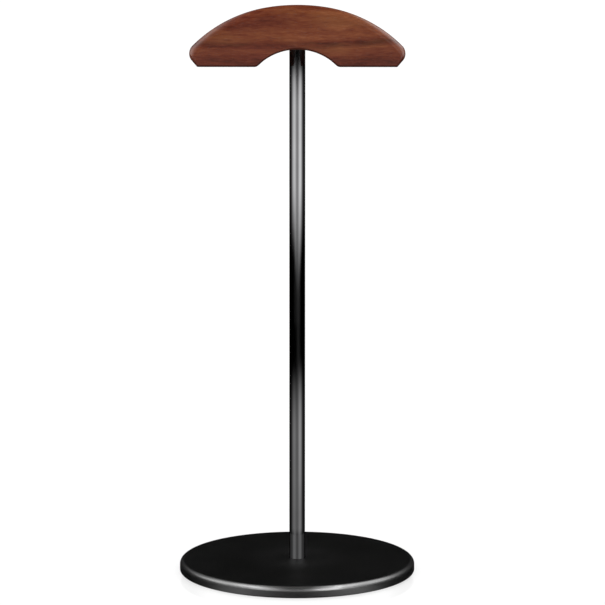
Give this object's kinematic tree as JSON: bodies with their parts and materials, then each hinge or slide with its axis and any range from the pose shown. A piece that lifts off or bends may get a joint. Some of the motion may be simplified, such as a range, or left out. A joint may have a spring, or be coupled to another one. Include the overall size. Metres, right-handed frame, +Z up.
{
  "type": "headphone stand",
  "caption": "Desk headphone stand: an arched solid-wood headrest with rounded ends on a slim dark metal pole, rising from a thin round black metal base.",
  "frame": {"origin": "on the table, on the pole's axis, under the middle of the foot pad", "axes": "+Z up along the pole; the headrest is long in X; its flat faces look along -Y (front) and +Y (back)"},
  "size_m": [0.12, 0.12, 0.2869],
  "materials": {
    "walnut": "dark walnut, grain along the length, satin clear lacquer",
    "gunmetal_plate": "black nickel plate over polished steel",
    "black_satin_steel": "satin black coating, very fine texture",
    "zinc_steel": "turned steel, zinc plated",
    "brass": "turned, with a plain groove round the middle",
    "silicone": "matte moulded",
    "tape": "double-sided adhesive film"
  },
  "bodies": {
    "root": {"base_plate": "black_satin_steel", "foot_pad": "silicone", "foot_pad_tape": "tape", "base_screw": "zinc_steel", "pole_tube": "gunmetal_plate", "pole_bottom_plug": "zinc_steel", "pole_top_plug": "zinc_steel", "headrest": "walnut", "headrest_insert": "brass", "headrest_stud": "zinc_steel"}
  },
  "joints": []
}
